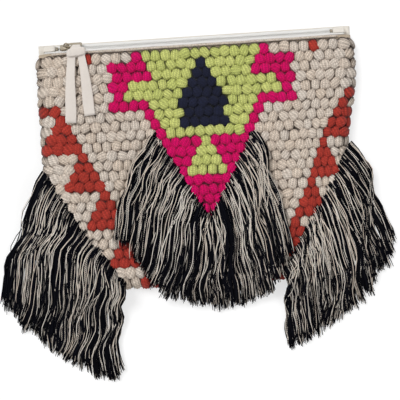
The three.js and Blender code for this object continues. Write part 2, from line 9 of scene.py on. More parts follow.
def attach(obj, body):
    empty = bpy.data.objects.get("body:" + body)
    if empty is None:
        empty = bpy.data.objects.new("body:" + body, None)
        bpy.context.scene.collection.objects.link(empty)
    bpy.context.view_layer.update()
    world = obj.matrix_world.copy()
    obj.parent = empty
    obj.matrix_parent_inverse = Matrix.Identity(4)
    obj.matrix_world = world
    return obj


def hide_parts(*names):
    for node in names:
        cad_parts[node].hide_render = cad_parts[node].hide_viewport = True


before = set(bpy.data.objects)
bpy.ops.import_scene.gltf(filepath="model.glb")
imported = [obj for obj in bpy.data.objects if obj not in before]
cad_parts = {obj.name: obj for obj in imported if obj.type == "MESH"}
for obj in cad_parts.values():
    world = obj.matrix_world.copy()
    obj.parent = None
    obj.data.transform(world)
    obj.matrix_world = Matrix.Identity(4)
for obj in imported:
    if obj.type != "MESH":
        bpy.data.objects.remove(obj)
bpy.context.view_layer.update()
draw = np.random.default_rng(20)  # every random draw comes from here, in one order

# The bag's form in millimetres, as the solids have it
bag = {
    "width": 296,
    "height": 221,
    "cornerRadius": 14,
    "seamLevel": 1.5,  # where the rolled edge of the front ends, over the table
    "frontTop": 13.0,
    "knotHeight": 6.5,
    "sideDraw": 12,  # how far the right side is drawn in at the bottom
    "drawStart": 82,
    "drawLength": 84,
    "drawReach": 58,
}
halfWidth = bag["width"] / 2
mouthY = bag["height"] / 2
edgeRoll = bag["frontTop"] - bag["seamLevel"]
coreRadius = bag["cornerRadius"] - edgeRoll
boxX = halfWidth - bag["cornerRadius"]
boxY = mouthY - bag["cornerRadius"]
tiny = 1e-9


def smooth(value, low=0.0, high=1.0):
    share = np.clip((value - low) / (high - low), 0, 1)
    return share * share * (3 - 2 * share)


def unit(vectors):
    return vectors / np.maximum(np.linalg.norm(vectors, axis=-1, keepdims=True), tiny)


def raised(values, power):
    return np.sign(values) * np.abs(values) ** power


def anyPhase(*shape):
    # places on a wave, in radians
    return draw.uniform(0, 6.28, shape)


def drawn(x, y):
    # the right side is drawn in towards the bottom
    down = smooth(bag["drawStart"] - y, 0, bag["drawLength"])
    return x - bag["sideDraw"] * down * smooth(x, halfWidth - bag["drawReach"], halfWidth)


def onFront(x, y, height):
    # a point over the front, lifted by a height along the cloth's normal
    awayX = x - np.clip(x, -boxX, boxX)
    awayY = np.minimum(y + boxY, 0)
    away = np.hypot(awayX, awayY)
    lean = np.arccos(np.clip((away - coreRadius) / edgeRoll, 0, 1))
    rolled = coreRadius + (edgeRoll + height) * np.cos(lean)
    scale = np.where(away > coreRadius, rolled / np.maximum(away, 1e-6), 1)
    placeX = x - awayX + awayX * scale
    placeY = y - awayY + awayY * scale
    flatZ = bag["frontTop"] + height
    rolledZ = bag["seamLevel"] + (edgeRoll + height) * np.sin(lean)
    z = np.where(away > coreRadius, rolledZ, flatZ)
    return np.stack([drawn(placeX, placeY), placeY, z], axis=-1)


def operator(operation, flipped=False):
    return lambda wire, other: wire.math(operation, other, flipped)


# One socket of a node tree, so that shader sums are written as Python sums
class Wire:
    __add__, __radd__ = operator("ADD"), operator("ADD", True)
    __sub__, __rsub__ = operator("SUBTRACT"), operator("SUBTRACT", True)
    __mul__, __rmul__ = operator("MULTIPLY"), operator("MULTIPLY", True)
    __truediv__, __rtruediv__ = operator("DIVIDE"), operator("DIVIDE", True)

    def __init__(self, finish, socket):
        self.finish = finish
        self.socket = socket

    def math(self, operation, other, flipped=False):
        pair = [other, self] if flipped else [self, other]
        return self.finish.node("Math", {"operation": operation}, {0: pair[0], 1: pair[1]})


# A material, or the world, whose nodes are added one by one
class Finish:
    def __init__(self, owner):
        owner.use_nodes = True
        self.owner = owner
        self.tree = owner.node_tree
        self.tree.nodes.clear()

    def node(self, kind, settings=None, values=None, output=0):
        made = self.tree.nodes.new("ShaderNode" + kind)
        for key, value in (settings or {}).items():
            setattr(made, key, value)
        for key, value in (values or {}).items():
            socket = made.inputs[key]
            if isinstance(value, Wire):
                self.tree.links.new(value.socket, socket)
            elif socket.type == "RGBA":
                socket.default_value = (*value, 1)
            else:
                socket.default_value = value
        return Wire(self, made.outputs[output]) if made.outputs else made

    def mix(self, share, first, second):
        return self.node("Mix", {"data_type": "RGBA"}, {0: share, 6: first, 7: second}, 2)

    def sine(self, value):
        return self.node("Math", {"operation": "SINE"}, {0: value})

    def spread(self, value, low, high, most=1.0):
        # from 0 at the low value to most at the high one
        return self.node("MapRange", {}, {"Value": value, 1: low, 2: high, 3: 0.0, 4: most})

    def attribute(self, name, output="Fac"):
        return self.node("Attribute", {"attribute_name": name}, {}, output)

    def noise(self, scale, detail=2.0, stretch=(1, 1, 1)):
        place = self.node("TexCoord", output="Object")
        place = self.node("Mapping", {}, {"Vector": place, "Scale": stretch})
        return self.node("TexNoise", {}, {"Scale": scale, "Detail": detail, "Vector": place})

    def parts(self, vector):
        outputs = self.node("SeparateXYZ", {}, {"Vector": vector}).socket.node.outputs
        return [Wire(self, outputs[index]) for index in range(3)]

    def bump(self, height, distance, strength):
        values = {"Height": height, "Distance": distance, "Strength": strength}
        return self.node("Bump", {}, values)

    def surface(self, **sockets):
        shader = self.node("BsdfPrincipled", {}, sockets)
        self.node("OutputMaterial", {}, {"Surface": shader})
        return self.owner


def tone(colour, share=1.0, lift=0.0):
    # a screen colour from 0 to 255, made darker or paler, as the light that a material takes:
    # the numbers below are the usual curve of a screen
    linear = []
    for part in colour:
        level = min(255, share * part + lift) / 255
        linear.append(level / 12.92 if level <= 0.04045 else ((level + 0.055) / 1.055) ** 2.4)
    return tuple(linear)


def finishNamed(name):
    return Finish(bpy.data.materials.new(name))


def added(name, data):
    made = bpy.data.objects.new(name, data)
    bpy.context.scene.collection.objects.link(made)
    return made


# Camera, lamps and floor
studio = {
    "turn": 3.8,  # degrees that the bag is turned in the picture
    "middle": (-4.4, -35.5),
    "distance": 1.1,  # metres over the floor
    "seenWidth": 375.0,
    "keyFrom": (-0.55, 0.6, 1.0),
    "keyStrength": 1.9,
    "keySoftness": 28,  # degrees
    "fillFrom": (0.9, -0.5, 0.9),
    "fillStrength": 0.55,
    "fillSoftness": 40,
    "ambient": 0.42,
    "floorHalf": 3,  # metres
    "floorBelow": 0.0004,
    "floorShade": 0.8,
    "floorSeen": 0.42,  # where the picture sees the floor, it takes less light and gives some,
    "floorGlow": 0.64,  # so that it comes out white and keeps the shadow
}


def makeCamera():
    data = bpy.data.cameras.new("overheadCamera")
    camera = added("overheadCamera", data)
    camera.location = (studio["middle"][0] / 1000, studio["middle"][1] / 1000, studio["distance"])
    camera.rotation_euler = (0, 0, math.radians(-studio["turn"]))
    depth = studio["distance"] - bag["frontTop"] / 1000
    data.lens = data.sensor_width * depth / (studio["seenWidth"] / 1000)
    data.clip_start = 0.05
    data.clip_end = 20
    bpy.context.scene.camera = camera


def makeSun(name, toLamp, strength, softness):
    data = bpy.data.lights.new(name, "SUN")
    data.energy = strength
    data.angle = math.radians(softness)
    lamp = added(name, data)
    lamp.rotation_euler = Vector(toLamp).to_track_quat("Z", "Y").to_euler()


def seenBackdrop(finish):
    # 1 for what the camera sees directly, or in metal and glass
    rays = finish.node("LightPath").socket.node.outputs
    camera, glossy, clear = [Wire(finish, rays[key]) for key in (
        "Is Camera Ray", "Is Glossy Ray", "Is Transmission Ray")]
    return camera.math("MAXIMUM", glossy).math("MAXIMUM", clear)


def makeWorld():
    world = bpy.data.worlds.new("studioWorld")
    bpy.context.scene.world = world
    sky = Finish(world)
    strength = seenBackdrop(sky) * (1 - studio["ambient"]) + studio["ambient"]
    light = sky.node("Background", {}, {"Color": (1, 1, 1), "Strength": strength})
    sky.node("OutputWorld", {}, {"Surface": light})


def makeFloor():
    mesh = bpy.data.meshes.new("studioFloor")
    side, level = studio["floorHalf"], -studio["floorBelow"]
    corners = [(-side, -side, level), (side, -side, level), (side, side, level), (-side, side, level)]
    mesh.from_pydata(corners, [], [(0, 1, 2, 3)])
    floor = added("studioFloor", mesh)
    paper = finishNamed("palePaper")
    seen = seenBackdrop(paper)
    mesh.materials.append(paper.surface(**{
        "Base Color": paper.mix(seen, [studio["floorShade"]] * 3, [studio["floorSeen"]] * 3),
        "Emission Color": paper.mix(seen, (0, 0, 0), [studio["floorGlow"]] * 3),
        "Emission Strength": 1.0, "Roughness": 1.0, "Specular IOR Level": 0.0,
    }))


bpy.context.scene.view_settings.view_transform = "Standard"
makeCamera()
makeSun("keyLamp", studio["keyFrom"], studio["keyStrength"], studio["keySoftness"])
makeSun("fillLamp", studio["fillFrom"], studio["fillStrength"], studio["fillSoftness"])
makeWorld()
makeFloor()
print("studio ready")

# Finishes. Noise scales are per metre, bump heights in metres, colours from 0 to 255
# light is each yarn's own colour; deep is a darker tone painted as shade in the grooves between plies and
# between knots, and also used for specks
yarnTones = {
    "cream": {"light": (255, 238, 219), "deep": (114, 84, 64)},
    "lime": {"light": (230, 238, 140), "deep": (104, 112, 36)},
    "magenta": {"light": (248, 0, 110), "deep": (108, 0, 48)},
    "navy": {"light": (30, 34, 58), "deep": (2, 2, 6)},
    "rust": {"light": (198, 66, 53), "deep": (88, 20, 16)},
}
yarnLook = {
    "plies": 2,
    "plyPitch": 2.4,  # millimetres in which a ply winds once round
    "patches": 45.0,
    "patchShare": 0.5,
    "patchShade": 0.86,
    "knotVariety": 0.35,  # how far single knots turn paler
    "palerShare": 1.12,
    "palerLift": 6,
    "grooveShare": 0.3,
    "specks": 620.0,
    "speckLevels": (0.42, 0.75),
    "speckShare": 0.5,
    "betweenKnots": 0.5,  # how much of the deep tone is left there, as painted shade
    "plyRelief": 0.8,
    "speckRelief": 0.5,
    "relief": (0.00025, 0.8),  # height and strength
}
fringeYarn = {
    "plies": 2,
    "plyPitch": 1.9,
    "dark": ((2, 2, 5), (14, 15, 24)),
    "pale": ((238, 222, 206), (255, 248, 238)),
    # painted shade for the grooves between plies
    "groove": (96, 84, 74),
    "grooveShare": 0.32,
    "fuzz": (150, 136, 122),
    "fuzzShare": 0.12,
    "specks": 800.0,
    "marledStripe": (0.3, 0.6),  # where on its ply a marled strand turns from dark to pale
    "speckRelief": 0.4,
    "relief": (0.0002, 0.8),
}
weave = {
    "slubs": 220.0,
    "slubStretch": (1, 0.12, 1),
    "clouds": 18.0,
    "cloudShare": 0.4,
    "cloudShade": 0.93,
    "gapShare": 0.4,
    "slubRelief": 0.4,
    "relief": (0.00018, 0.9),
}
# what each woven cloth has of its own, its thread in millimetres; deep is a darker tone painted as shade in
# the gaps between threads, and also used for slubs
cloths = {
    "ground_cloth": {
        "name": "groundCotton",
        "light": (212, 196, 174),
        "deep": (150, 128, 104),
        "thread": 0.9,
        "slubShare": 0.35,
    },
    "canvas": {
        "name": "creamCanvas",
        "light": (250, 246, 238),
        "deep": (224, 213, 197),
        "thread": 0.8,
        "slubShare": 0.35,
    },
    "lining_cloth": {
        "name": "liningCotton",
        "light": (240, 236, 228),
        "deep": (206, 198, 184),
        "thread": 0.4,
        "slubShare": 0.35,
    },
    "zip_tape": {
        "name": "tapeTwill",
        "light": (253, 252, 250),
        "deep": (236, 233, 227),
        "thread": 0.5,
        "slubShare": 0.15,
    },
}
suede = {
    "light": (231, 223, 215),
    "cloudy": (215, 205, 196),
    "cloudShare": 0.6,
    "clouds": 60.0,
    "grain": (190, 179, 168),
    "grainShare": 0.25,
    "nap": 420.0,
    "relief": (0.00022, 0.7),
}
nickel = {
    "light": (184, 174, 156),
    "worn": (112, 100, 84),
    "wornShare": 0.6,
    "clouds": 160.0,
    "brushing": 700.0,
    "brushStretch": (0.15, 1, 1),
    "roughness": (0.2, 0.22),
    "relief": (0.00003, 0.5),
}
nylon = {
    "light": (252, 251, 249),
    "shaded": (240, 238, 233),
    "shadedShare": 0.4,
    "clouds": 120.0,
    "roughness": (0.4, 0.15),
    "relief": (0.00005, 0.5),
}


def twistOf(finish, look):
    # stripes that wind round a strand, from 0 in a groove to 1 on a ply
    along, turn, chance = finish.parts(finish.attribute("lay", "Vector"))
    wound = (turn * look["plies"] + along / look["plyPitch"]) * (2 * math.pi)
    return finish.sine(wound) * 0.5 + 0.5, chance


def yarnFinish(name, colours):
    look, light, deep = yarnLook, colours["light"], tone(colours["deep"])
    finish = finishNamed(name)
    twist, chance = twistOf(finish, look)
    patches = finish.noise(look["patches"], 2.0) * look["patchShare"]
    specks = finish.noise(look["specks"], 4.0)
    patchy = finish.mix(patches, tone(light), tone(light, look["patchShade"]))
    paler = tone(light, look["palerShare"], look["palerLift"])
    varied = finish.mix(chance * look["knotVariety"], patchy, paler)
    # painted shade: the grooves between plies turn towards the deep tone
    wound = finish.mix((1 - twist) * look["grooveShare"], varied, deep)
    fuzzy = finish.mix(finish.spread(specks, *look["speckLevels"], look["speckShare"]), wound, deep)
    # painted shade: where the knots' painted light is low (feet, grooves, tucked ends), the colour turns to
    # a darkened deep tone
    paintedShade = tone(colours["deep"], look["betweenKnots"])
    return finish.surface(**{
        "Base Color": finish.mix(finish.attribute("crown"), paintedShade, fuzzy),
        "Roughness": 0.9, "Specular IOR Level": 0.18, "Sheen Weight": 0.1, "Sheen Roughness": 0.5,
        "Normal": finish.bump(twist * look["plyRelief"] + specks * look["speckRelief"], *look["relief"]),
    })


def fringeFinish():
    look = fringeYarn
    finish = finishNamed("fringeYarn")
    twist, chance = twistOf(finish, look)
    specks = finish.noise(look["specks"], 2.0)
    dark = finish.mix(chance, *[tone(shade) for shade in look["dark"]])
    pale = finish.mix(chance, *[tone(shade) for shade in look["pale"]])
    # painted shade: the grooves between plies turn towards the groove tone
    grooved = finish.mix((1 - twist) * look["grooveShare"], pale, tone(look["groove"]))
    fuzzy = finish.mix(specks * look["fuzzShare"], grooved, tone(look["fuzz"]))
    # a marled strand, whose pale value is a half, shows the pale ply where the stripe is 1
    both = finish.attribute("pale") * 2 + finish.spread(twist, *look["marledStripe"])
    shown = finish.node("Math", {"operation": "SUBTRACT", "use_clamp": True}, {0: both, 1: 1.0})
    return finish.surface(**{
        "Base Color": finish.mix(shown, dark, fuzzy), "Roughness": 0.9, "Specular IOR Level": 0.06,
        "Normal": finish.bump(twist + specks * look["speckRelief"], *look["relief"]),
    })


def wovenFinish(cloth):
    # plain weave: warp and weft waves that take turns on top
    finish = finishNamed(cloth["name"])
    light, deep = cloth["light"], tone(cloth["deep"])
    x, y, z = finish.parts(finish.node("TexCoord", output="Object"))
    turn = math.pi / (cloth["thread"] / 1000)
    crossing = finish.sine(x * turn) * finish.sine((y - z) * turn)
    lift = finish.node("Math", {"operation": "ABSOLUTE"}, {0: crossing})
    slubs = finish.noise(weave["slubs"], 4.0, weave["slubStretch"])
    clouds = finish.noise(weave["clouds"], 3.0) * weave["cloudShare"]
    cloudy = finish.mix(clouds, tone(light), tone(light, weave["cloudShade"]))
    streaked = finish.mix(slubs * cloth["slubShare"], cloudy, deep)
    return finish.surface(**{
        # painted shade: where the threads dip between crossings, the colour turns to the deep tone
        "Base Color": finish.mix((1 - lift) * weave["gapShare"], streaked, deep),
        "Roughness": 0.9, "Specular IOR Level": 0.2, "Sheen Weight": 0.15,
        "Normal": finish.bump(lift + slubs * weave["slubRelief"], *weave["relief"]),
    })


def suedeFinish():
    finish = finishNamed("paleSuede")
    nap = finish.noise(suede["nap"], 5.0)
    clouds = finish.noise(suede["clouds"], 2.0) * suede["cloudShare"]
    cloudy = finish.mix(clouds, tone(suede["light"]), tone(suede["cloudy"]))
    return finish.surface(**{
        "Base Color": finish.mix(nap * suede["grainShare"], cloudy, tone(suede["grain"])),
        "Roughness": 0.95, "Specular IOR Level": 0.15, "Sheen Weight": 0.5, "Sheen Roughness": 0.6,
        "Normal": finish.bump(nap, *suede["relief"]),
    })


def nickelFinish():
    finish = finishNamed("brushedNickel")
    brushed = finish.noise(nickel["brushing"], 3.0, nickel["brushStretch"])
    clouds = finish.noise(nickel["clouds"], 3.0) * nickel["wornShare"]
    least, change = nickel["roughness"]
    return finish.surface(**{
        "Base Color": finish.mix(clouds, tone(nickel["light"]), tone(nickel["worn"])),
        "Metallic": 1.0, "Roughness": brushed * change + least,
        "Normal": finish.bump(brushed, *nickel["relief"]),
    })


def nylonFinish():
    finish = finishNamed("whiteNylon")
    clouds = finish.noise(nylon["clouds"], 2.0)
    shaded = clouds * nylon["shadedShare"]
    least, change = nylon["roughness"]
    return finish.surface(**{
        "Base Color": finish.mix(shaded, tone(nylon["light"]), tone(nylon["shaded"])),
        "Roughness": clouds * change + least, "Coat Weight": 0.1,
        "Normal": finish.bump(clouds, *nylon["relief"]),
    })


finishes = {f"yarn_{name}": yarnFinish(f"{name}Yarn", colours) for name, colours in yarnTones.items()}
finishes["fringe_yarn"] = fringeFinish()
finishes.update({slot: wovenFinish(cloth) for slot, cloth in cloths.items()})
finishes.update({"zip_teeth": nylonFinish(), "nickel": nickelFinish(), "suede": suedeFinish()})
print("finishes ready")


# Meshes
def dressed(name, mesh, slot, body, stands):
    mesh.materials.append(finishes[slot])
    made = added(name, mesh)
    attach(made, body)
    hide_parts(*stands)
    return made


def addPiece(name, points, faces, slot, stands, body="bag", corners=None, values=None):
    # points in millimetres, faces as arrays of equal polygons, values that the finish reads
    mesh = bpy.data.meshes.new(name)
    loops = np.concatenate([np.asarray(group).ravel() for group in faces]).astype(np.int32)
    sizes = np.concatenate([np.full(len(group), np.asarray(group).shape[1]) for group in faces])
    mesh.vertices.add(len(points))
    mesh.vertices.foreach_set("co", (np.asarray(points) / 1000).astype(np.float32).ravel())
    mesh.loops.add(len(loops))
    mesh.loops.foreach_set("vertex_index", loops)
    mesh.polygons.add(len(sizes))
    starts = np.concatenate([[0], np.cumsum(sizes)[:-1]]).astype(np.int32)
    mesh.polygons.foreach_set("loop_start", starts)
    mesh.polygons.foreach_set("use_smooth", np.ones(len(sizes), bool))
    mesh.update(calc_edges=True)
    if corners is not None:
        lay = mesh.attributes.new("lay", "FLOAT_VECTOR", "CORNER")
        lay.data.foreach_set("vector", corners.astype(np.float32).ravel())
    for key, value in (values or {}).items():
        held = mesh.attributes.new(key, "FLOAT", "POINT")
        held.data.foreach_set("value", value.astype(np.float32))
    return dressed(name, mesh, slot, body, stands)


def triangleCount(faces):
    return sum(len(group) * (group.shape[1] - 2) for group in faces)


def ringFaces(count, steps, sides):
    # for strands of rings: quads between the rings and a cap on each end
    index = np.arange(count * steps * sides).reshape(count, steps, sides)
    around = np.roll(index, -1, axis=2)
    quads = np.stack([index[:, :-1], around[:, :-1], around[:, 1:], index[:, 1:]], -1).reshape(-1, 4)
    return [quads, np.concatenate([index[:, 0, ::-1], index[:, -1]])]


def ringLay(travel, turnBeside, chance, sides):
    # for each corner of those faces: millimetres along, turns round, and a chance of each strand's own
    count, steps = travel.shape
    lay = np.empty((count, steps - 1, sides, 4, 3))
    for corner, (ahead, beside) in enumerate([(0, 0), (0, 1), (1, 1), (1, 0)]):
        lay[..., corner, 0] = travel[:, ahead:steps - 1 + ahead, None]
        lay[..., corner, 1] = turnBeside(beside)
        lay[..., corner, 2] = chance[:, None, None]
    ends = np.zeros((2 * count * sides, 3))
    ends[:, 2] = np.repeat(np.concatenate([chance, chance]), sides)
    return np.concatenate([lay.reshape(-1, 3), ends])


def strandTubes(paths, radii, sides):
    # closed tubes along paths, an array of strands, points and 3
    count, steps, _ = paths.shape
    along = unit(np.gradient(paths, axis=1))
    side = np.empty_like(paths)
    anyWay = np.broadcast_to([0.31, 0.17, 0.93], (count, 3))
    side[:, 0] = unit(np.cross(along[:, 0], anyWay))
    for step in range(1, steps):
        before = side[:, step - 1]
        lean = (before * along[:, step]).sum(-1, keepdims=True)
        side[:, step] = unit(before - lean * along[:, step])
    up = np.cross(along, side)
    angles = 2 * math.pi * np.arange(sides) / sides
    ring = side[:, :, None] * np.cos(angles)[:, None] + up[:, :, None] * np.sin(angles)[:, None]
    points = paths[:, :, None] + ring * radii[:, :, None, None]
    lengths = np.linalg.norm(np.diff(paths, axis=1), axis=-1)
    travel = np.concatenate([np.zeros((count, 1)), np.cumsum(lengths, axis=1)], axis=1)
    turns = np.arange(sides) / sides
    lay = ringLay(travel, lambda beside: turns + beside / sides, draw.random(count), sides)
    return points.reshape(-1, 3), ringFaces(count, steps, sides), lay


# Knots, worked row by row over the ground cloth
knots = {
    "rows": 24,
    "columns": 32,
    "topY": 107.8,
    "overhang": 0.8,  # how far the first row may stand over its top line
    "motifColumn": 0.5,  # the motif's centre line, in columns right of the middle
    "shoulder": 0.34,
    "scatter": (0.22, 0.28),  # across and up
    "fullness": 1.27,  # a knot's width against its cell
    "length": 1.31,  # in row pitches
    "sizes": (0.95, 1.05),
    "heights": (0.86, 0.97),  # against the full height
    "lean": (12, 31),  # degrees, and how much they differ
    "twist": (0.3, 0.55),  # radians
    "tilt": 0.42,  # how much higher a knot's lower end stands than its upper end
    "lump": 0.12,
    "lumpWaves": 5,
    "steps": 9,
    "span": (0.035, 0.965),  # the share of its length that a knot shows
    "plies": 8,
    "wrap": (-14, 194),  # degrees round the yarn
    "plyRelief": 0.48,
    "plySpread": (0.5, 1.4),
    "squareness": (0.86, 0.78),  # across and up: 1 is round, less is squarer
    "endShape": (0.5, 0.58),  # how bluntly width and height end
    "bulge": 0.25,
    "leastHeight": 0.12,
    "overHeight": 0.25,
    "looseColumns": 3,  # beside the left edge, where the knots are larger and uneven
    "looseGrowth": 0.1,
    "wholeFrom": 0.9,  # share of a cell's width from which a knot counts as whole
    "looseLean": 0.4,
    "rimFlattening": 0.3,
    "shadedFrom": 2.5,  # heights between which a knot's foot turns from shade to light
    "litFrom": 4.9,
    "grooveShade": 0.36,
    "endShade": 0.75,
    "endShadeTo": 0.3,
    "yarnLength": 1.25,  # yarn in a knot against its length
    "plyTurn": 0.25,
}
rowPitch = (knots["topY"] + mouthY) / knots["rows"]
columnPitch = bag["width"] / knots["columns"]
# the motif: colour, first and last row, and half its width in knots on a row
fields = [
    ("navy", (1, 5), lambda row: row / 2),
    ("navy", (6, 7), lambda row: (row - 2) / 2),
    ("lime", (0, 2), lambda row: (12 - row) / 2),
    ("lime", (3, 4), lambda row: 7.9),
    ("lime", (5, 8), lambda row: (16 - row) / 2),
    ("lime", (9, 12), lambda row: (row - 8) / 2),
    ("magenta", (0, 0), lambda row: 7),
    ("magenta", (1, 5), lambda row: 9.4),
    ("magenta", (6, 17), lambda row: (18 - row) / 2),
]
sawtooth = {"topRow": 5, "rowsATooth": 4, "across": 16.5, "step": 2, "singleKnot": 11.5}


def knotColour(row, across):
    for colour, (first, last), half in fields:
        if first <= row <= last and abs(across) < half(row):
            return colour
    if row == 0 and abs(across) == sawtooth["singleKnot"]:
        return "rust"
    if row < sawtooth["topRow"]:
        return "cream"
    tooth, toothRow = divmod(row - 2, sawtooth["rowsATooth"])
    fromMiddle = abs(abs(across) - (sawtooth["across"] - sawtooth["step"] * tooth))
    return "rust" if fromMiddle < (toothRow + 1) / 2 else "cream"


def knotPlaces():
    # for each colour: middle across and up, width, and how loosely the knot is worked
    places = {name: [] for name in yarnTones}
    apex = rowPitch * (1 - knots["shoulder"])
    for row in range(knots["rows"]):
        shifted = row % 2 == 0
        for column in range(knots["columns"] + (1 if shifted else 0)):
            place = column + (0 if shifted else 0.5) - knots["columns"] / 2
            left = max((place - 0.5) * columnPitch, -halfWidth)
            right = min((place + 0.5) * columnPitch, halfWidth)
            loose = 1.0 if column < knots["looseColumns"] else 0.0
            colour = knotColour(row, place - knots["motifColumn"])
            y = knots["topY"] - apex - row * rowPitch
            places[colour].append(((left + right) / 2, y, right - left, loose))
    return {name: np.array(rows) for name, rows in places.items()}


def knotDomes(places):
    # each knot is one closed puff whose top is ridged by the plies of its yarn
    count, steps = len(places), knots["steps"]
    around = 2 * knots["plies"] + 1
    x, y, width, loose = places.T
    sideways, upwards = knots["scatter"]
    x = x + draw.normal(0, sideways, count) * np.where(width < columnPitch, 0, 1 + loose)
    y = y + draw.normal(0, upwards, count) * (1 + loose)
    growth = 1 + knots["looseGrowth"] * loose * (width > knots["wholeFrom"] * columnPitch)
    half = width / 2 * knots["fullness"] * draw.uniform(*knots["sizes"], count) * growth
    reach = rowPitch / 2 * knots["length"] * draw.uniform(*knots["sizes"], count) * growth
    tall = bag["knotHeight"] * draw.uniform(*knots["heights"], count)
    lean = np.radians(draw.normal(*knots["lean"], count)) * (1 + knots["looseLean"] * loose)
    twist = draw.normal(*knots["twist"], count)

    share = np.linspace(*knots["span"], steps)
    arc = np.sin(math.pi * share)
    turn = np.radians(np.linspace(*knots["wrap"], around))
    ply = np.arange(around)
    window = np.clip(np.sin(turn), 0, 1) ** 0.5
    angle = turn + twist[:, None, None] * (share - 0.5)[:, None] * window
    relief = np.where(ply % 2 == 1, 1.0, -1.0) * knots["plyRelief"] * arc[:, None] ** 0.5
    relief = relief * draw.uniform(*knots["plySpread"], (count, 1, around))
    lumps = 1 + knots["lump"] * np.sin(share * knots["lumpWaves"] + anyPhase(count, 1))
    (flat, steep), (wideEnd, tallEnd) = knots["squareness"], knots["endShape"]
    sway = (half[:, None] * arc ** wideEnd * lumps)[..., None] * raised(np.cos(angle), flat)
    sway = sway + relief * np.cos(angle)
    crest = tall[:, None] * arc ** tallEnd * (1 - knots["tilt"] / 2 + knots["tilt"] * share)
    rise = crest[..., None] * raised(np.sin(angle), steep) + relief * np.sin(angle)
    way = (-np.cos(math.pi * share) * reach[:, None])[..., None] + knots["bulge"] * np.sin(3 * angle)
    cos, sin = np.cos(lean)[:, None, None], np.sin(lean)[:, None, None]
    placeX = np.clip(x[:, None, None] + sway * cos + way * sin, -halfWidth, halfWidth)
    topY = knots["topY"] + knots["overhang"]
    placeY = np.clip(y[:, None, None] - way * cos + sway * sin, -mouthY, topY)
    lifted = np.clip(rise, knots["leastHeight"], bag["knotHeight"] + knots["overHeight"])
    lifted = lifted * (1 - knots["rimFlattening"] * smooth(np.abs(placeX), boxX, halfWidth))
    points = onFront(placeX, placeY, lifted).reshape(-1, 3)

    # how much light a point gets: little at a knot's foot, in its grooves and at its tucked end
    groove = np.where(ply % 2 == 0, knots["grooveShade"], 0.0) * arc[:, None] ** 0.5
    tucked = smooth(share, 0.0, knots["endShadeTo"])[:, None] * knots["endShade"] + (1 - knots["endShade"])
    crown = (smooth(lifted, knots["shadedFrom"], knots["litFrom"]) * (1 - groove) * tucked).ravel()

    travel = (1 - np.cos(math.pi * share)) * knots["yarnLength"] * reach[:, None]
    chance = draw.random(count)
    phase = draw.random((count, 1, around))
    phase[..., 1::2] = phase[..., 0:-1:2]
    lay = ringLay(travel, lambda beside: phase + knots["plyTurn"] * (ply % 2 + beside), chance, around)
    return points, ringFaces(count, steps, around), lay, crown


def makeKnots():
    nodes = sorted(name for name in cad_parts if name.startswith("knots_"))
    for colour, places in knotPlaces().items():
        points, faces, lay, crown = knotDomes(places)
        stands = [name for name in nodes if name.startswith(f"knots_{colour}_")]
        values = {"crown": crown}
        addPiece(f"{colour}Knots", points, faces, f"yarn_{colour}", stands, corners=lay, values=values)
        print(f"{colour} knots: {len(places)}, {triangleCount(faces)} triangles")


makeKnots()

# Fringes: strands lie in tresses, and tresses in layers. A way runs from 0 at the root to 1 at the tip
tress = {
    "strand": 0.9,
    "paleStrand": 0.8,
    "strandSizes": (0.85, 1.12),
    "taper": ((0, 0.05, 0.94, 1), (0.9, 1, 1, 0.75)),
    "steps": 17,
    "sides": 3,
    "layers": 4,
    "spacing": 4.2,
    "strands": 13,
    "half": 2.7,
    "tall": 0.95,
    "spread": 0.25,
    "stagger": 0.45,
    "sideGap": 0.4,
    "seamEnds": (0.003, 0.997),
    "seamStep": 0.06,  # how far to each side the seam's direction is measured
    "rootOut": (9, 24),  # how far strands stand out before they fall, at the seam's low and high end
    "rootShares": (0.65, 0.55),  # how far they set out square to the seam, and how far to their ends
    "rootDepth": 5.2,  # how far below the knots' tops the strands come out
    "rootUnder": 3.0,  # how far they start under the knots along the seam
    "comesOut": (0.04, 0.15),
    "tipDown": 34,
    "tipShares": (0.8, 0.5),  # how far tips hang along their strand, and how far straight down
    "tipSpread": 3.2,
    "layerShorter": 0.7,
    "trim": 1.8,
    "waves": [(1.1, 1.1), (2.2, 1.9), (3.4, 3.1)],  # turns along a strand, and across the fringe
    "swings": np.array([1.0, 0.6, 0.4]),  # of the three waves
    "ownSwing": 0.3,  # a tress's own waves against those it shares with its neighbours
    "layerShift": 0.02,
    "swingsFrom": (0.05, 0.35),
    "windSpread": 1.1,
    "gatherIn": 0.42,
    "gatherWay": (0.08, 0.35),
    "flareOut": 0.5,
    "flareWay": (0.82, 1.0),
    "fine": 0.32,
    "fineSwings": np.array([1.0, 0.9, 0.8]),
    "fineTall": 0.35,
    "thickness": ((0, 0.3, 1), (2.4, 6.4, 3.9)),
    "overlap": 0.8,  # how far tresses of one layer rise into the next
    "leastLevel": 0.1,
    "clearance": 0.35,
    "paleShares": (0.06, 0.1, 0.15),  # share of pale strands, for each of three kinds of tress
    "paleAbove": 0.15,
    "everyTurn": 0.382,  # golden share of a turn, so that two pale strands are seldom neighbours
    "marled": 0.06,  # share of strands that twist a dark ply with a pale one
}
strays = {
    "share": 0.04,
    "bend": 5,
    "mostBend": 7,
    "bends": (0.8, 2.2),
    "bendsFrom": (0.1, 0.5),
    "height": ((0, 0.3, 1), (2.4, 7.0, 3.0)),
    "paleShare": 0.75,
}
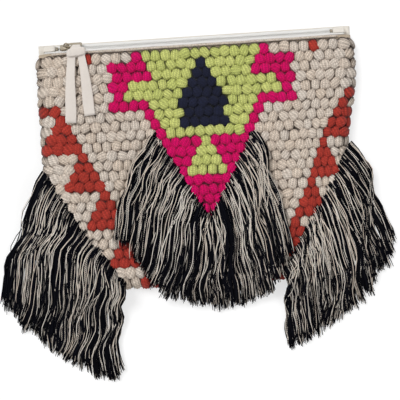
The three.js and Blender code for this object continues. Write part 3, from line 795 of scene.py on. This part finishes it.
# where strands are stitched in and where they end, in knots right of and above the cloth's middle
fringes = {
    "fringeLeft": {
        "node": "fringe_left",
        "root": [(-16.4, 0), (-8.8, -12.1)],
        "ends": [(-21.2, -12.6), (-19.6, -15.4), (-16.2, -18.7), (-13.2, -20.1), (-10.9, -21.8),
                 (-9.8, -21.3)],
        "wave": 2.8,
        "gather": 1.0,
    },
    "fringeCentre": {
        "node": "fringe_centre",
        "root": [(-4.9, 3.4), (0.5, -6.2), (5.6, 3.1)],
        "ends": [(-9.3, -6.7), (-7.4, -8.7), (-5.9, -11.8), (-4.1, -13.3), (-1.7, -14.3), (1, -15),
                 (3.6, -14.5), (5.6, -14), (6.6, -12.3), (7.5, -10.6), (8.3, -8.9)],
        "wave": 1.7,
        "gather": 1.0,
    },
    "fringeRight": {
        "node": "fringe_right",
        "root": [(7.6, -11.9), (15.4, 1)],
        "ends": [(7.8, -19.3), (9.4, -18.8), (10.9, -17.7), (13.2, -16.8), (15.4, -15.4),
                 (16.8, -13.4), (18.4, -11), (19, -8.9)],
        "wave": 1.9,
        "gather": 1.45,  # how much more of the strands end near the fringe's lower end
    },
}
drape = {"onKnots": 0.4, "onTable": 0.3, "fall": (-4, 34)}  # the fall in millimetres from the front's rim
lieOnKnots = bag["frontTop"] + bag["knotHeight"] + drape["onKnots"]


def drapeLevel(x, y):
    # what the strands lie on: the knots, then down the rolled edge to the table
    spread = x + (x - drawn(x, y))
    beyond = spread - np.clip(spread, -boxX, boxX)
    share = smooth(np.hypot(beyond, np.minimum(y + boxY, 0)) - bag["cornerRadius"], *drape["fall"])
    return lieOnKnots * (1 - share) + drape["onTable"] * share


def fromKnots(corners):
    return np.array(corners, float) * (columnPitch, rowPitch)


def travelAlong(corners):
    return np.concatenate([[0], np.cumsum(np.linalg.norm(np.diff(corners, axis=0), axis=1))])


def alongLine(corners, share):
    lengths = travelAlong(corners)
    travel = np.clip(share, 0, 1) * lengths[-1]
    return np.stack([np.interp(travel, lengths, corners[:, axis]) for axis in (0, 1)], axis=-1)


def waves(share, way, phases, strengths):
    # three sideways waves, which neighbours have in common as far as their shares are alike
    total = 0
    for index, (lengthwise, crosswise) in enumerate(tress["waves"]):
        turns = lengthwise * way + crosswise * share
        total = total + strengths[index] * np.sin(2 * math.pi * turns + phases[index])
    return total


def asideOf(paths):
    heading = unit(np.gradient(paths[..., :2], axis=1))
    return heading, np.stack([-heading[..., 1], heading[..., 0]], axis=-1)


def tressLines(look, layer, way):
    # the middle line of each tress, from under the knots out over them and down
    root, ends = fromKnots(look["root"]), fromKnots(look["ends"])
    layers, tresses = tress["layers"], len(layer)
    across = tresses // layers
    place = np.tile(np.arange(across), layers) + 0.5 + tress["stagger"] * (layer % 2)
    share = place / (across + tress["sideGap"])
    share = np.clip(share + draw.normal(0, tress["spread"], tresses) / across, *tress["seamEnds"])
    start = alongLine(root, share)
    finish = alongLine(ends, share ** look["gather"])
    beside = tress["seamStep"]
    chord = unit(alongLine(root, share + beside) - alongLine(root, share - beside))
    out = np.stack([chord[:, 1], -chord[:, 0]], axis=-1)
    toEnd = unit(finish - start)
    out = np.where((out * toEnd).sum(-1, keepdims=True) < 0, -out, out)
    high = (start[:, 1] - start[:, 1].min()) / np.ptp(start[:, 1])
    rootOut = np.interp(high, [0, 1], tress["rootOut"])[:, None]
    start = start - out * tress["rootUnder"]
    square, onward = tress["rootShares"]
    out = unit(out * square + toEnd * onward)
    longer = draw.normal(0, tress["tipSpread"], (tresses, 1))
    finish = finish + toEnd * (longer - tress["layerShorter"] * layer[:, None])
    onward, downward = tress["tipShares"]
    down = unit(toEnd * onward + np.array([0, -downward]))
    bends = [start, start + out * rootOut, finish - down * tress["tipDown"], finish]
    shares = [(1 - way) ** 3, 3 * way * (1 - way) ** 2, 3 * way * way * (1 - way), way ** 3]
    middle = sum(part[None, :, None] * point[:, None] for part, point in zip(shares, bends))

    phases, ownPhases = anyPhase(3), anyPhase(3, tresses, 1)
    swing = look["wave"] * tress["swings"]
    common = waves(share[:, None] + tress["layerShift"] * layer[:, None], way, phases, swing)
    own = waves(0, way, ownPhases, swing * tress["ownSwing"])
    heading, aside = asideOf(middle)
    freed = smooth(way, *tress["swingsFrom"])
    return middle + aside * ((common + own) * freed)[..., None], heading, aside


def fringePaths(look, way):
    # single strands round the middle of their tress
    rootLength = travelAlong(fromKnots(look["root"]))[-1]
    across = int(round(rootLength / tress["spacing"]))
    layer = np.repeat(np.arange(tress["layers"]), across)
    middle, heading, aside = tressLines(look, layer, way)
    tresses, inTress = len(layer), tress["strands"]
    turn = draw.uniform(0, 2 * math.pi, (tresses, inTress))
    fromMiddle = np.sqrt(draw.uniform(0, 1, (tresses, inTress)))[..., None]
    angle = turn[..., None] + draw.normal(0, tress["windSpread"], (tresses, 1, 1)) * way
    gathered = 1 - tress["gatherIn"] * smooth(way, *tress["gatherWay"])
    gathered = gathered + tress["flareOut"] * smooth(way, *tress["flareWay"])
    sideways = tress["half"] * fromMiddle * np.cos(angle) * gathered
    upwards = tress["tall"] * fromMiddle * np.sin(angle)
    finePhases = anyPhase(3, tresses, inTress, 1)
    fine = waves(0, way, finePhases, tress["fine"] * tress["fineSwings"])
    freed = smooth(way, *tress["swingsFrom"])
    place = middle[:, None] + aside[:, None] * (sideways + fine * freed)[..., None]
    trim = draw.normal(0, tress["trim"], (tresses, inTress))
    place = place + heading[:, None] * (trim[..., None] * way ** 4)[..., None]

    thickness = np.interp(way, *tress["thickness"])
    level = (layer[:, None, None] + 0.5) / tress["layers"] * thickness
    level = level + upwards * tress["overlap"] + tress["fineTall"] * fine * freed
    height = drapeLevel(place[..., 0], place[..., 1])
    height = height + np.maximum(level, tress["leastLevel"]) + tress["clearance"]
    height = height - tress["rootDepth"] * (1 - smooth(way, *tress["comesOut"]))

    # dark and pale strands take turns round each tress, and the pale ones lie a little higher
    likely = draw.choice(tress["paleShares"], tresses)
    order = np.argsort(np.argsort(turn, axis=1), axis=1)
    takesTurn = (tress["everyTurn"] * order + draw.random((tresses, 1))) % 1
    pale = (takesTurn < likely[:, None]).astype(float)
    height = height + tress["paleAbove"] * pale[..., None] * freed
    pale = np.where(draw.random(pale.shape) < tress["marled"], 0.5, pale)
    paths = np.concatenate([place, height[..., None]], axis=-1)
    return paths.reshape(-1, len(way), 3), pale.ravel()


def strayPaths(paths, way):
    # a few strands stand out over the rest in wide bends
    count = int(len(paths) * strays["share"])
    stray = paths[draw.choice(len(paths), count, replace=False)].copy()
    _, aside = asideOf(stray)
    bend = np.clip(draw.normal(0, strays["bend"], (count, 1)), -strays["mostBend"], strays["mostBend"])
    bend = bend * np.sin(math.pi * way * draw.uniform(*strays["bends"], (count, 1)))
    stray[..., :2] += aside * (bend * smooth(way, *strays["bendsFrom"]))[..., None]
    sunk = tress["rootDepth"] * (1 - smooth(way, *tress["comesOut"]))
    stray[..., 2] = drapeLevel(stray[..., 0], stray[..., 1]) + np.interp(way, *strays["height"]) - sunk
    return stray, (draw.random(count) < strays["paleShare"]).astype(float)


def makeFringes():
    made = []
    way = np.linspace(0, 1, tress["steps"])
    for name, look in fringes.items():
        paths, pale = fringePaths(look, way)
        stray, strayPale = strayPaths(paths, way)
        half = len(paths) // 2
        under = (paths[:half], pale[:half])
        over = (np.concatenate([paths[half:], stray]), np.concatenate([pale[half:], strayPale]))
        for part, (lines, shades) in (("Under", under), ("Over", over)):
            thick = np.where(shades > 0.5, tress["paleStrand"], tress["strand"])[:, None] / 2
            thick = thick * draw.uniform(*tress["strandSizes"], (len(lines), 1))
            radii = thick * np.interp(way, *tress["taper"])
            points, faces, lay = strandTubes(lines, radii, tress["sides"])
            values = {"pale": np.repeat(shades, tress["steps"] * tress["sides"])}
            made.append(addPiece(
                f"{name}{part}", points, faces, "fringe_yarn", [look["node"]], corners=lay, values=values))
            print(f"{name}{part}: {len(lines)} strands, {triangleCount(faces)} triangles")
    return made


fringePieces = makeFringes()

# Cloth panels
panel = {
    "columns": 60,
    "rows": 44,
    "roll": 6,  # rows of faces round a rolled edge
    "cloth": 1.2,
    "clothDent": 0.12,
    "lining": 0.6,
    "liningUnder": 1.5,  # from the cloth's outside to the lining's
    "liningShort": 0.3,
    "liningSlack": 0.5,
    "back": 1.2,
    "backTop": 119.9,
    "backEdge": 0.35,
    "backRipple": 0.08,
}


def panelGrid():
    # columns and rows over the inner box, then round the rolled sides and bottom
    roll, columns, rows = panel["roll"], panel["columns"], panel["rows"]
    outward = np.linspace(0, 1, roll + 1)[1:]
    inward = np.linspace(-1, 0, roll + 1)[:-1]
    fall = np.linspace(1, 0, roll + 1)[:-1]
    sideRoll = np.concatenate([inward, np.zeros(columns + 1), outward])
    p, q = np.meshgrid(sideRoll, np.concatenate([fall, np.zeros(rows + 1)]))
    flatX = np.linspace(-boxX, boxX, columns + 1)
    baseX = np.concatenate([np.full(roll, -boxX), flatX, np.full(roll, boxX)])
    climb = np.concatenate([np.zeros(roll), np.linspace(0, 1, rows + 1)])
    lean = np.arctan2(q, np.maximum(np.abs(p), tiny))
    return {
        "x": np.broadcast_to(baseX, p.shape),
        "climb": np.broadcast_to(climb[:, None], p.shape),  # from the box's bottom to its top
        "outX": np.cos(lean) * np.sign(p),
        "outY": -np.sin(lean),
        "rolled": np.maximum(np.abs(p), q),  # from 0 on the flat to 1 at the seam
    }


def panelPlace(grid, topY, away, level):
    y = -boxY + grid["climb"] * (topY + boxY)
    placeX, placeY = grid["x"] + grid["outX"] * away, y + grid["outY"] * away
    return np.stack([drawn(placeX, placeY), placeY, np.broadcast_to(level, y.shape)], axis=-1)


def closedPanel(top, bottom):
    # two grids of points, one over the other, closed round the rim
    rows, columns, _ = top.shape
    index = np.arange(rows * columns).reshape(rows, columns)
    under = index + rows * columns
    a, b, c, d = index[:-1, :-1], index[:-1, 1:], index[1:, 1:], index[1:, :-1]
    upper = np.stack([a, b, c, d], -1).reshape(-1, 4)
    lower = np.stack([a, d, c, b], -1).reshape(-1, 4) + rows * columns
    rim = np.concatenate([index[0], index[1:, -1], index[-1, -2::-1], index[-2:0:-1, 0]])
    low = np.concatenate([under[0], under[1:, -1], under[-1, -2::-1], under[-2:0:-1, 0]])
    sides = np.stack([rim, low, np.roll(low, -1), np.roll(rim, -1)], -1)
    return np.concatenate([top.reshape(-1, 3), bottom.reshape(-1, 3)]), [upper, lower, sides]


def rolledSheet(grid, topY, height):
    rolled, bend = grid["rolled"], math.pi / 2
    away = np.where(rolled > 0, coreRadius, 0) + (edgeRoll + height) * np.sin(rolled * bend)
    level = bag["seamLevel"] + (edgeRoll + height) * np.cos(rolled * bend)
    return panelPlace(grid, topY, away, level)


def makePanels():
    grid = panelGrid()
    rolled = grid["rolled"]
    dents = draw.normal(0, 1, rolled.shape)
    for _ in range(3):  # each dent becomes the mean of itself and the four beside it
        beside = np.roll(dents, 1, 0) + np.roll(dents, -1, 0) + np.roll(dents, 1, 1) + np.roll(dents, -1, 1)
        dents = (dents + beside) / 5
    dents = dents / np.abs(dents).max() * (1 - rolled)
    outside, inside = rolledSheet(grid, mouthY, 0), rolledSheet(grid, mouthY, -panel["cloth"])
    outside[..., 2] -= panel["clothDent"] * (1 + dents)
    ground = addPiece("groundCloth", *closedPanel(outside, inside), "ground_cloth", ["front_cloth"])

    # the lining is one folded cloth: a front that follows the ground cloth, and a flat back
    topY, under, thick = mouthY - panel["liningShort"], panel["liningUnder"], panel["lining"]
    outside, inside = rolledSheet(grid, topY, -under), rolledSheet(grid, topY, -under - thick)
    for side in (outside, inside):
        side[..., 2] -= panel["liningSlack"] * (1 + dents) * (1 - rolled)
    away = (coreRadius + edgeRoll - under) * rolled
    backOutside = panelPlace(grid, topY, away, bag["seamLevel"])
    backInside = panelPlace(grid, topY, away, bag["seamLevel"] + thick)
    frontPoints, frontFaces = closedPanel(outside, inside)
    backPoints, backFaces = closedPanel(backInside, backOutside)
    faces = frontFaces + [group + len(frontPoints) for group in backFaces]
    points = np.concatenate([frontPoints, backPoints])
    lining = addPiece("cottonLining", points, faces, "lining_cloth", ["lining"])

    away = (bag["cornerRadius"] - panel["liningShort"]) * rolled
    onRim = rolled > 0.99
    edge = np.where(onRim, panel["backEdge"], 0.0)
    top = panelPlace(grid, panel["backTop"], away, panel["back"] - edge)
    low = panelPlace(grid, panel["backTop"], away, edge)
    low[..., 2] += panel["backRipple"] * np.abs(dents)
    back = addPiece("canvasBack", *closedPanel(top, low), "canvas", ["back_panel"])
    return ground, lining, back


groundCloth, cottonLining, canvasBack = makePanels()
print("cloth panels ready")

# Selvedge cord along the top of the front
selvedge = {
    "diameter": 2.4,
    "plies": 2,
    "plyShare": 0.27,  # a ply's radius against the cord's diameter
    "twist": 4.2,
    "lift": 0.3,
    "steps": 600,
    "sides": 6,
    "crown": 0.9,  # how much light it gets, as on the knots
}


def makeSelvedge():
    x = np.linspace(-boxX, boxX, selvedge["steps"])
    ply = selvedge["diameter"] * selvedge["plyShare"]
    paths = []
    for index in range(selvedge["plies"]):
        angle = 2 * math.pi * (x / selvedge["twist"] + index / selvedge["plies"])
        y = mouthY - selvedge["diameter"] / 2 + ply * np.cos(angle)
        z = bag["frontTop"] + selvedge["lift"] + selvedge["diameter"] / 2 + ply * np.sin(angle)
        paths.append(np.stack([x, y, z], axis=-1))
    radii = np.full((selvedge["plies"], len(x)), ply)
    points, faces, lay = strandTubes(np.array(paths), radii, selvedge["sides"])
    values = {"crown": np.full(len(points), selvedge["crown"])}
    return addPiece("selvedgeCord", points, faces, "yarn_cream", ["selvedge"], corners=lay, values=values)


selvedgeCord = makeSelvedge()

# Zip: tapes, coils, end tabs
zipLook = {
    "middle": (0, 114.9, 6.825),
    "tilt": -52.63,
    "length": 282,
    "halfWidth": 6.26,
    "tapeFrom": 2.85,
    "tapeThickness": 0.7,
    "tapeSteps": 160,
    "ripples": ((0.12, 9.0), (0.08, 3.7)),  # height and length of the tape's two ripples
    "chainFrom": -128.2,
    "chainTo": 128.2,
    "chainInset": 0.3,
    "coilPitch": 1.5,
    "coilInner": 0.35,
    "coilOuter": 2.85,
    "coilTall": 0.68,
    "coilSteps": 10,  # in one turn
    "wire": 0.42,
    "wireSides": 5,
    "tabLength": 10,
    "tabOver": 0.3,
    "tabFold": (0.7, 1.02),  # how far the fold reaches back from its outermost line, and its rise
    "tabFoldSteps": 9,
    "tabWidth": 9.2,
    "tabThickness": 0.75,
}
zipTurn = Matrix.Rotation(math.radians(zipLook["tilt"]), 3, "X")


def fromZip(x, across, up):
    # a point of the zip's own frame: along it, from front to back, and out of the bag
    local = np.stack(np.broadcast_arrays(x, across, up), axis=-1).astype(float)
    return local @ np.array(zipTurn).T + np.array(zipLook["middle"])


def acrossZip(places):
    return np.broadcast_to(np.array(zipTurn)[:, 1], places.shape)


def band(middles, sides, widths, thickness, flatness=(0.35, 0.75), rounding=12):
    # a flat band with rounded edges along a line; sides point across it
    middles, sides = np.asarray(middles, float), unit(np.asarray(sides, float))
    along = unit(np.gradient(middles, axis=0))
    up = unit(np.cross(along, sides))
    angles = 2 * math.pi * np.arange(rounding) / rounding
    flat, tall = raised(np.cos(angles), flatness[0]), raised(np.sin(angles), flatness[1])
    widths = np.broadcast_to(widths, len(middles))
    points = middles[:, None] + sides[:, None] * (flat[None, :, None] * widths[:, None, None] / 2)
    points = points + up[:, None] * (tall[None, :, None] * thickness / 2)
    quads, caps = ringFaces(1, len(middles), rounding)
    return points.reshape(-1, 3), [np.roll(quads[:, ::-1], 1, axis=1), caps[:, ::-1]]


def joined(parts):
    points, quads, caps, count = [], [], [], 0
    for place, (faces, ends) in parts:
        points.append(place)
        quads.append(faces + count)
        caps.append(ends + count)
        count += len(place)
    return np.concatenate(points), [np.concatenate(quads), np.concatenate(caps)]


def makeTape(side, name, node):
    x = np.linspace(-zipLook["length"] / 2, zipLook["length"] / 2, zipLook["tapeSteps"])
    (long, longWay), (short, shortWay) = zipLook["ripples"]
    sag = long * np.sin(x / longWay) + short * np.sin(x / shortWay + side)
    middles = fromZip(x, side * (zipLook["tapeFrom"] + zipLook["halfWidth"]) / 2, sag)
    width = zipLook["halfWidth"] - zipLook["tapeFrom"]
    tape = band(middles, acrossZip(middles), width, zipLook["tapeThickness"])
    addPiece(name, *tape, "zip_tape", [node])


def makeCoil(side, name, node):
    inner, outer, inset = zipLook["coilInner"], zipLook["coilOuter"], zipLook["chainInset"]
    length = zipLook["chainTo"] - zipLook["chainFrom"]
    turns = length / zipLook["coilPitch"]
    share = np.linspace(0, 1, int(turns * zipLook["coilSteps"]))
    angle = 2 * math.pi * turns * share + (0 if side > 0 else math.pi)
    wideness = (outer - inner) / 2 - zipLook["wire"]
    across = side * (inner + outer) / 2 + wideness * np.cos(angle) * side
    along = zipLook["chainFrom"] + inset + share * (length - 2 * inset)
    paths = fromZip(along, across, zipLook["coilTall"] * np.sin(angle))[None]
    radii = np.full(paths.shape[:2], zipLook["wire"])
    points, faces, _ = strandTubes(paths, radii, zipLook["wireSides"])
    addPiece(name, points, faces, "zip_teeth", [node])


def makeEndTab(side, name, node):
    half, (back, rise) = zipLook["length"] / 2, zipLook["tabFold"]
    turn = np.linspace(-math.pi / 2, math.pi / 2, zipLook["tabFoldSteps"])
    lip, bend = half - zipLook["tabLength"], half + zipLook["tabOver"] - back
    leg = [lip, lip + 3, lip + 6]
    foldX = np.concatenate([leg, bend + np.cos(turn), leg[::-1]])
    foldZ = np.concatenate([[-rise] * 3, rise * np.sin(turn), [rise] * 3])
    middles = fromZip(side * foldX, 0, foldZ)
    tab = band(middles, acrossZip(middles) * side, zipLook["tabWidth"], zipLook["tabThickness"])
    addPiece(name, *tab, "canvas", [node])


makeTape(-1, "zipTapeFront", "zip_tape_front")
makeTape(1, "zipTapeBack", "zip_tape_back")
makeCoil(-1, "zipCoilFront", "zip_teeth_front")
makeCoil(1, "zipCoilBack", "zip_teeth_back")
makeEndTab(-1, "endTabLeft", "zip_end_tab_left")
makeEndTab(1, "endTabRight", "zip_end_tab_right")
print("zip ready")

# Metal parts keep their solids' shape, with eased edges: node, piece, body and easing in millimetres
metalParts = [
    ("slider_body", "sliderBody", "slider", 0.18),
    ("pull_tab", "pullTab", "pull", 0.16),
    ("zip_top_stop_front", "topStopFront", "bag", 0.3),
    ("zip_top_stop_back", "topStopBack", "bag", 0.3),
    ("zip_bottom_stop", "bottomStop", "bag", 0.3),
]
angles = {"flat": 0.02, "eased": 0.5, "sharp": 0.6}  # radians


def easedCopy(node, name, body, ease):
    work = bmesh.new()
    work.from_mesh(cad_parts[node].data)
    bmesh.ops.remove_doubles(work, verts=work.verts, dist=1e-6)
    bmesh.ops.dissolve_limit(work, angle_limit=angles["flat"], verts=work.verts, edges=work.edges)
    edges = [edge for edge in work.edges if edge.is_manifold and edge.calc_face_angle(0) > angles["eased"]]
    bmesh.ops.bevel(work, geom=edges, offset=ease / 1000, segments=2, affect="EDGES", clamp_overlap=True)
    mesh = bpy.data.meshes.new(name)
    work.to_mesh(mesh)
    work.free()
    mesh.polygons.foreach_set("use_smooth", np.ones(len(mesh.polygons), bool))
    mesh.set_sharp_from_angle(angle=angles["sharp"])
    dressed(name, mesh, "nickel", body, [node])


for part in metalParts:
    easedCopy(*part)
print("metal parts ready")

# Ribbon of suede through the tab
ribbon = {
    "x": -110.45,
    "thickness": 1.0,
    "lie": 20.35,  # level of its middle over the knots
    "tailTop": 110.5,
    "tailTuck": 3.6,  # how much of a tail is under the wrap
    "tailApart": 3.9,
    "tailSteps": 24,
    "tails": [
        {"side": -1, "length": 63, "sway": -6, "neck": 7.4, "end": 10.2},
        {"side": 1, "length": 57, "sway": 6, "neck": 7.0, "end": 10.2},
    ],
    "waves": ((0.9, 4.4), (0.35, 9), (0.13, 6)),  # sideways, up and in roll: size, radians to the end
    "slant": 0.08,
    "swayPower": 1.1,
    "lifts": (0.1, 0.3),  # shares of a tail's length between which it comes free of the wrap
    "widens": (0.0, 0.8),
    "wrapY": 109.2,
    "wrapHalf": 7.8,
    "wrapLift": 0.2,
    "wrapTall": 1.5,
    "wrapWidth": (8.0, 1.2),  # and how much narrower it is at its sides
    "wrapThickness": 2.3,
    "wrapSquareness": 0.75,
    "wrapSlant": (0.7, 0.5),
    "wrapAcross": (0.05, 1.0, 0.0),
    "wrapFlatness": (0.62, 0.8),
    "wrapSteps": 33,
    "loopSteps": 40,
    "loopWidth": (6.6, 7.4, 2.6),  # in the tab's slot, how much wider at its ends, and how steeply
}
# the loop's way up and out of the wrap, down through the tab's slot, round its rim and back
ribbonLoop = np.array([
    (ribbon["wrapY"] + 1.5, ribbon["lie"] + 1.3), (ribbon["wrapY"] + 4.2, ribbon["lie"] + 0.4),
    (115.4, 17.8), (116.8, 14.8), (117.3, 12.2), (116.6, 10.2), (115.0, 10.0),
    (113.9, 11.6), (113.2, 14.2), (111.6, 16.6), (ribbon["wrapY"] - 0.5, 18.2),
])


def ribbonTail(tail):
    share = np.linspace(0, 1, ribbon["tailSteps"])
    side = tail["side"]
    (curve, curveWay), (ripple, rippleWay), (roll, rollWay) = ribbon["waves"]
    y = ribbon["tailTop"] - share * (tail["length"] + ribbon["tailTuck"])
    x = ribbon["x"] + side * ribbon["tailApart"] + tail["sway"] * share ** ribbon["swayPower"]
    x = x + side * curve * np.sin(share * curveWay)
    free = smooth(share, *ribbon["lifts"])
    z = ribbon["lie"] + ripple * (1 + np.sin(share * rippleWay + side)) * free
    tilt = roll * np.sin(share * rollWay + side)
    sides = np.stack([np.cos(tilt), ribbon["slant"] * side + 0 * tilt, np.sin(tilt)], axis=-1)
    widths = tail["neck"] + (tail["end"] - tail["neck"]) * smooth(share, *ribbon["widens"])
    return band(np.stack([x, y, z], axis=-1), sides, widths, ribbon["thickness"])


def ribbonWrap():
    # across both tails
    turn = np.linspace(0, 2 * math.pi, ribbon["wrapSteps"])
    power, (over, under) = ribbon["wrapSquareness"], ribbon["wrapSlant"]
    x = ribbon["x"] + ribbon["wrapHalf"] * raised(np.cos(turn), power)
    y = ribbon["wrapY"] + over * np.cos(turn) + under * np.sin(turn)
    z = ribbon["lie"] + ribbon["wrapLift"] + ribbon["wrapTall"] * raised(np.sin(turn), power)
    sides = np.broadcast_to(ribbon["wrapAcross"], (len(turn), 3))
    width, narrower = ribbon["wrapWidth"]
    widths = width - narrower * np.abs(np.cos(turn)) ** 3
    middles = np.stack([x, y, z], axis=-1)
    return band(middles, sides, widths, ribbon["wrapThickness"], ribbon["wrapFlatness"])


def ribbonThroughTab():
    count = ribbon["loopSteps"]
    steps = np.linspace(0, len(ribbonLoop) - 1, count)
    y, z = [np.interp(steps, np.arange(len(ribbonLoop)), ribbonLoop[:, axis]) for axis in (0, 1)]
    for _ in range(3):
        for line in (y, z):
            line[1:-1] = (line[:-2] + 2 * line[1:-1] + line[2:]) / 4
    least, more, power = ribbon["loopWidth"]
    widths = least + more * np.abs(np.linspace(-1, 1, count)) ** power
    middles = np.stack([np.full(count, ribbon["x"]), y, z], axis=-1)
    return band(middles, np.broadcast_to([1.0, 0.0, 0.0], (count, 3)), widths, ribbon["thickness"])


ribbonParts = [ribbonTail(tail) for tail in ribbon["tails"]] + [ribbonWrap(), ribbonThroughTab()]
suedeRibbon = addPiece("suedeRibbon", *joined(ribbonParts), "suede", ["pull_ribbon"], "pull")
print("ribbon ready")
